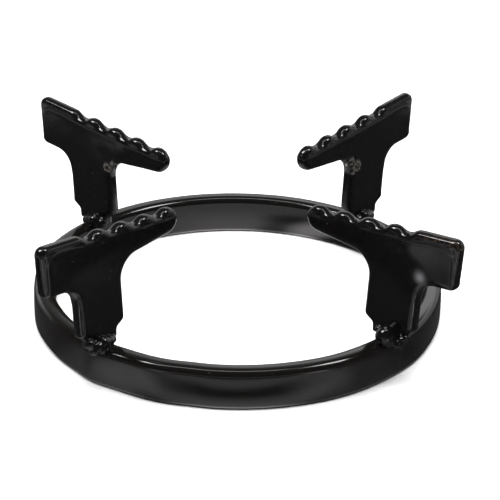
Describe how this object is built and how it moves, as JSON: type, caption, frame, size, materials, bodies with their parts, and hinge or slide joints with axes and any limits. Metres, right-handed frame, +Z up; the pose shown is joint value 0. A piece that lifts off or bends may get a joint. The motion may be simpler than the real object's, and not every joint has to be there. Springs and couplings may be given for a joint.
{
  "type": "wok ring",
  "caption": "Enamelled steel hoop with upright notched fingers that steady a round-bottomed wok over a gas burner.",
  "frame": {"origin": "on the hoop's axis, in the plane that the hoop stands on", "axes": "+Z up along the hoop's axis; the hoop's butt weld is at the front left, where -Y is the front and +X the right"},
  "size_m": [0.1675, 0.1668, 0.0651],
  "materials": {
    "hoop_enamel": "glossy black vitreous enamel on steel",
    "finger_enamel": "glossy black vitreous enamel on steel",
    "weld_enamel": "glossy black vitreous enamel over weld metal"
  },
  "bodies": {
    "root": {"hoop": "hoop_enamel", "front_left_finger": "finger_enamel", "front_right_finger": "finger_enamel", "rear_right_finger": "finger_enamel", "rear_left_finger": "finger_enamel", "front_left_weld_left": "weld_enamel", "front_left_weld_right": "weld_enamel", "front_right_weld_left": "weld_enamel", "front_right_weld_right": "weld_enamel", "rear_right_weld_left": "weld_enamel", "rear_right_weld_right": "weld_enamel", "rear_left_weld_left": "weld_enamel", "rear_left_weld_right": "weld_enamel"}
  },
  "joints": []
}
